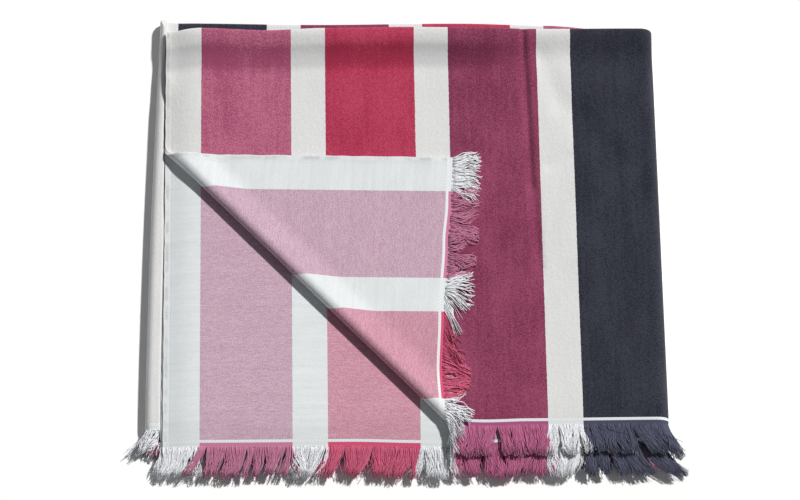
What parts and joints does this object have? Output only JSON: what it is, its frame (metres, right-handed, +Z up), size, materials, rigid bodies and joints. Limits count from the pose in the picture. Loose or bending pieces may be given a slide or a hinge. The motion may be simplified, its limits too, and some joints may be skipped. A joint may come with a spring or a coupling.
{
  "type": "folded hammam towel",
  "caption": "Striped bath towel with fringed ends, folded into a flat pack with a corner turned over.",
  "frame": {"origin": "centre of the base of the whole folded towel, fringes included, on the surface it lies on", "axes": "+X across the stripes, from the turned corner's side to the side of the last fold; +Y along the stripes, from the fringes to the end-to-end fold; +Z up"},
  "size_m": [0.5406, 0.475, 0.0376],
  "materials": {
    "striped_velour": "matt cotton, velour on one side and flat woven on the other, in broad stripes",
    "warp_fringe": "matt twisted cotton yarn in the colours of the stripes"
  },
  "bodies": {
    "root": {"towel_cloth": "striped_velour", "fringe_end_one": "warp_fringe", "fringe_end_two": "warp_fringe"}
  },
  "joints": []
}
